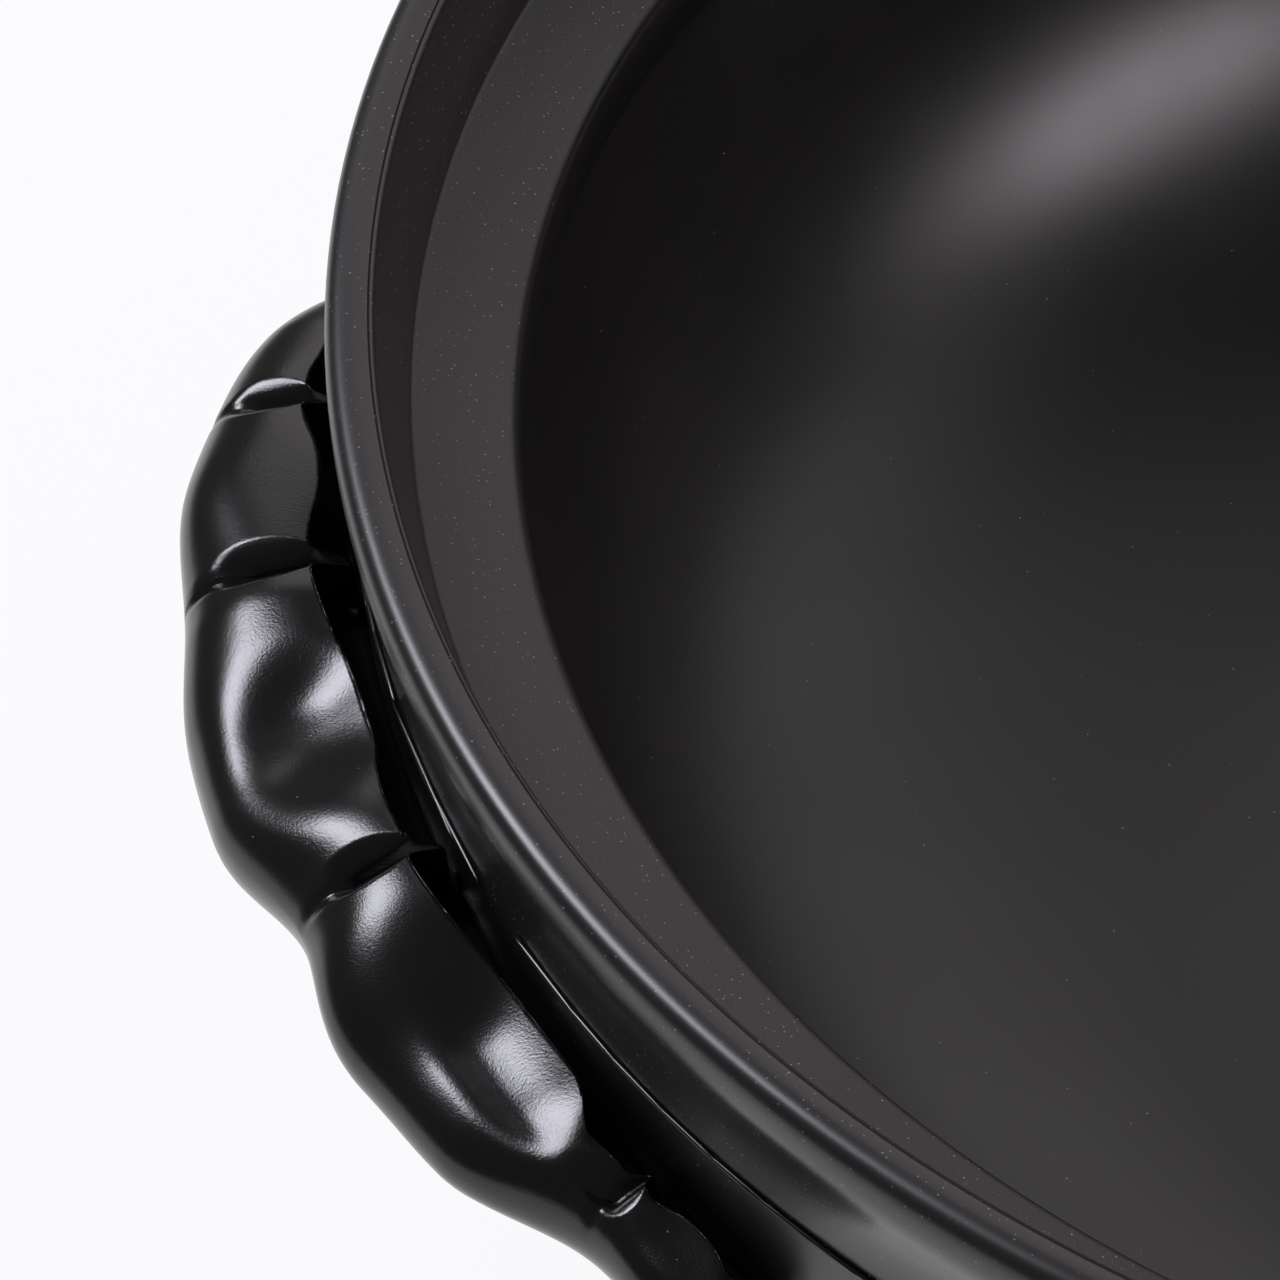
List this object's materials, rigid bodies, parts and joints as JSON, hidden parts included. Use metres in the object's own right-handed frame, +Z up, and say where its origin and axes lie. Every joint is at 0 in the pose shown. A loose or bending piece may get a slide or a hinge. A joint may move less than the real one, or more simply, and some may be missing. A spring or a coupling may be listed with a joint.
{
  "type": "casserole pot",
  "caption": "Round black-glazed earthenware casserole pot with a lid ledge inside its lip, pinched lug handles and a domed ring-knob lid standing beside it.",
  "frame": {"origin": "middle of the pot's flat foot, on the surface it stands on", "axes": "+Z up out of the pot's mouth, +X through the right handle towards the lid that stands beside the pot"},
  "size_m": [0.535, 0.254, 0.0812],
  "materials": {
    "bowl_glaze": "satin black glaze, matt and grainy on the lid ledge, bare clay under the foot",
    "handle_glaze": "satin black glaze with a fine orange-peel skin",
    "lid_glaze": "satin black glaze, bare clay on the rim that sits on the ledge"
  },
  "bodies": {
    "pot": {"bowl": "bowl_glaze", "left_handle": "handle_glaze", "right_handle": "handle_glaze"},
    "lid": {"lid": "lid_glaze", "lid_knob": "lid_glaze"}
  },
  "joints": [
    {"name": "lid_lift", "type": "slide", "parent": "pot", "child": "lid", "axis": [0, 0, 1], "range_m": [0, 0.15]}
  ]
}
